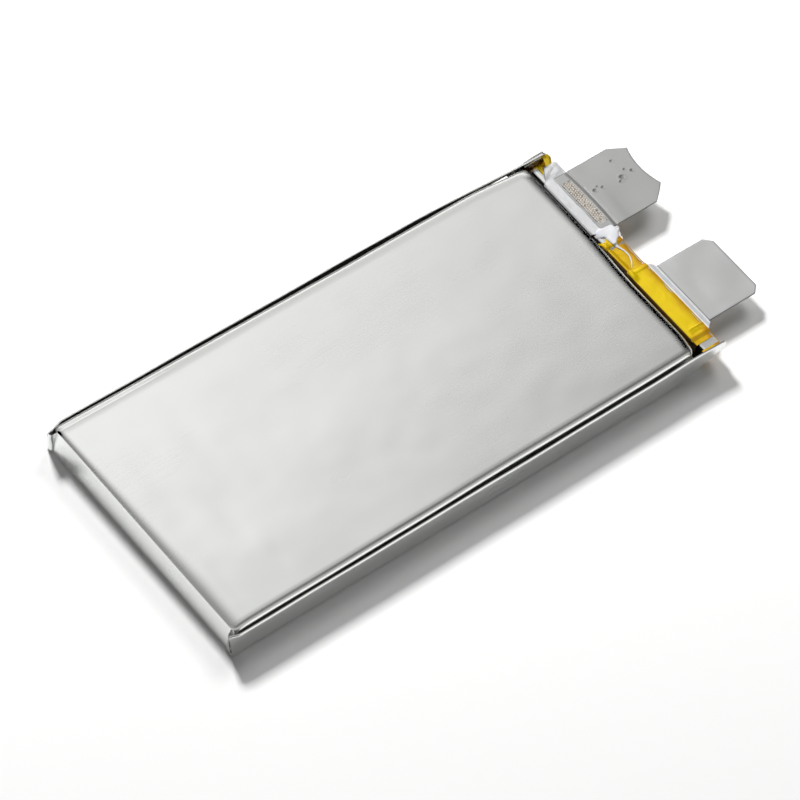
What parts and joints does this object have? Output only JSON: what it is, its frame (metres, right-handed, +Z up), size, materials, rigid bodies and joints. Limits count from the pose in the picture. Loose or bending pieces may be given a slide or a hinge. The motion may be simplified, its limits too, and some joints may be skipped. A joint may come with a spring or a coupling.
{
  "type": "pouch battery cell",
  "caption": "Flat rectangular lithium-polymer pouch cell in silver laminate film, with folded side seals and two bendable metal tabs on one short end.",
  "frame": {"origin": "middle of the pouch's 190 mm length and 90 mm width, on the flat back face that the cell rests on", "axes": "+X along the length towards the tabs, +Y across the width towards the positive tab's side, +Z up through the thickness, out of the cell's front face"},
  "size_m": [0.214, 0.09, 0.0115],
  "materials": {
    "laminate": "satin silver aluminium laminate",
    "polyimide_tape": "glossy amber-yellow tape",
    "aluminium_foil": "soft white-silver strip",
    "nickel_plate": "satin nickel plating",
    "sealant": "milky translucent film",
    "separator": "matt white porous film",
    "anode_coating": "graphite on copper foil",
    "cathode_coating": "metal oxide on aluminium foil",
    "stack_tape": "green polyester tape"
  },
  "bodies": {
    "cell": {"pouch_film": "laminate", "terrace_tape_top": "polyimide_tape", "terrace_tape_bottom": "polyimide_tape", "positive_sealant_upper": "sealant", "positive_sealant_lower": "sealant", "negative_sealant_upper": "sealant", "negative_sealant_lower": "sealant", "positive_lead": "aluminium_foil", "positive_tab_foot": "nickel_plate", "negative_lead": "nickel_plate", "separator": "separator", "anode_sheet_1": "anode_coating", "anode_sheet_2": "anode_coating", "anode_sheet_3": "anode_coating", "anode_sheet_4": "anode_coating", "anode_sheet_5": "anode_coating", "anode_sheet_6": "anode_coating", "anode_sheet_7": "anode_coating", "anode_sheet_8": "anode_coating", "anode_sheet_9": "anode_coating", "anode_sheet_10": "anode_coating", "anode_sheet_11": "anode_coating", "anode_sheet_12": "anode_coating", "anode_sheet_13": "anode_coating", "cathode_sheet_1": "cathode_coating", "cathode_sheet_2": "cathode_coating", "cathode_sheet_3": "cathode_coating", "cathode_sheet_4": "cathode_coating", "cathode_sheet_5": "cathode_coating", "cathode_sheet_6": "cathode_coating", "cathode_sheet_7": "cathode_coating", "cathode_sheet_8": "cathode_coating", "cathode_sheet_9": "cathode_coating", "cathode_sheet_10": "cathode_coating", "cathode_sheet_11": "cathode_coating", "cathode_sheet_12": "cathode_coating", "stack_tape_left_fold_end": "stack_tape", "stack_tape_left_tab_end": "stack_tape", "stack_tape_right_fold_end": "stack_tape", "stack_tape_right_tab_end": "stack_tape", "stack_tape_end": "stack_tape", "positive_weld_tape_lower": "polyimide_tape", "positive_weld_tape_upper": "polyimide_tape", "negative_weld_tape_lower": "polyimide_tape", "negative_weld_tape_upper": "polyimide_tape"},
    "positive_tab": {"positive_tab_blade": "nickel_plate"},
    "negative_tab": {"negative_tab_blade": "nickel_plate"}
  },
  "joints": [
    {"name": "positive_tab_bend", "type": "hinge", "parent": "cell", "child": "positive_tab", "pos_m": [0.0979, 0.02235, 0.00731], "axis": [0, -1, 0], "range_deg": [-15, 90]},
    {"name": "negative_tab_bend", "type": "hinge", "parent": "cell", "child": "negative_tab", "pos_m": [0.0974, -0.02155, 0.0065], "axis": [0, -1, 0], "range_deg": [-15, 90]}
  ]
}
